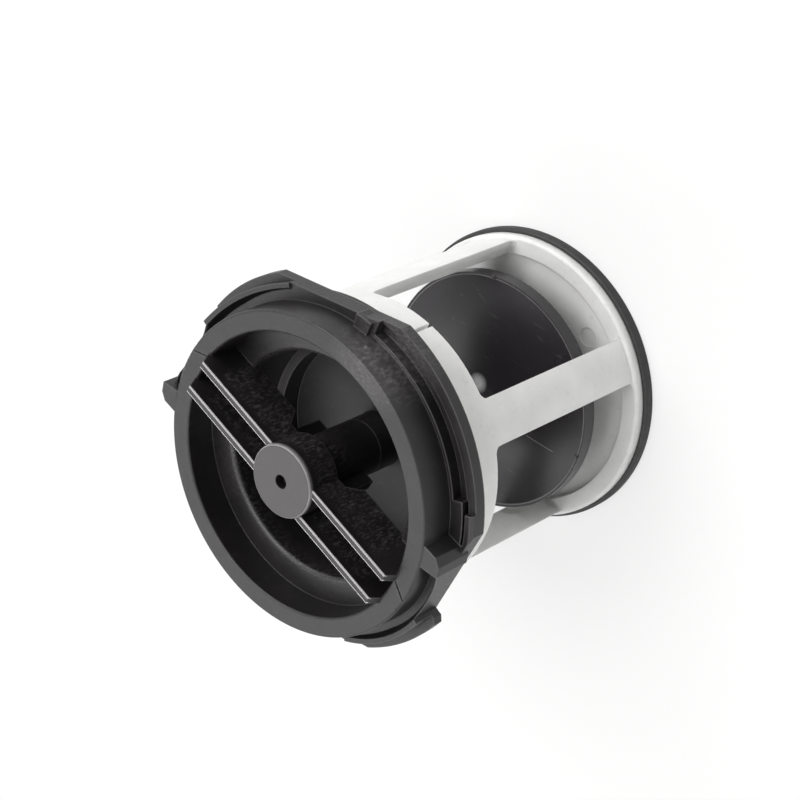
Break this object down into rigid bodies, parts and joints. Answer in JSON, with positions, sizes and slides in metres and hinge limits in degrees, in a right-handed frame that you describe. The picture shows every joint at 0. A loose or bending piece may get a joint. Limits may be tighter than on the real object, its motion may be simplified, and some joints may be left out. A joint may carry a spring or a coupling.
{
  "type": "washer pump filter",
  "caption": "Drain pump filter: a black bayonet cap with a grip bar in a stepped recess, clipped to a white open cage with a black baffle dome and rubber seals.",
  "frame": {"origin": "on the axis, at the rear face of the rear seal, which is what the filter stands on", "axes": "+Z along the axis from the rear seal to the grip bar; the cage's windows face +X, -X, +Y and -Y"},
  "size_m": [0.0646, 0.0664, 0.0683],
  "materials": {
    "cap_plastic": "moulded black polypropylene with a satin, lightly scuffed surface",
    "cage_plastic": "moulded white polypropylene, smooth and a little glossy",
    "dome_plastic": "moulded black plastic, smooth with a soft gloss",
    "seal_rubber": "black moulded rubber, matt"
  },
  "bodies": {
    "cage_body": {"filter_cage": "cage_plastic", "baffle_dome": "dome_plastic", "rear_seal": "seal_rubber"},
    "cap_body": {"cap": "cap_plastic", "cap_seal": "seal_rubber"}
  },
  "joints": [
    {"name": "cap_turn", "type": "hinge", "parent": "cage_body", "child": "cap_body", "pos_m": [0, 0, 0.0479], "axis": [0, 0, 1], "continuous": true}
  ]
}
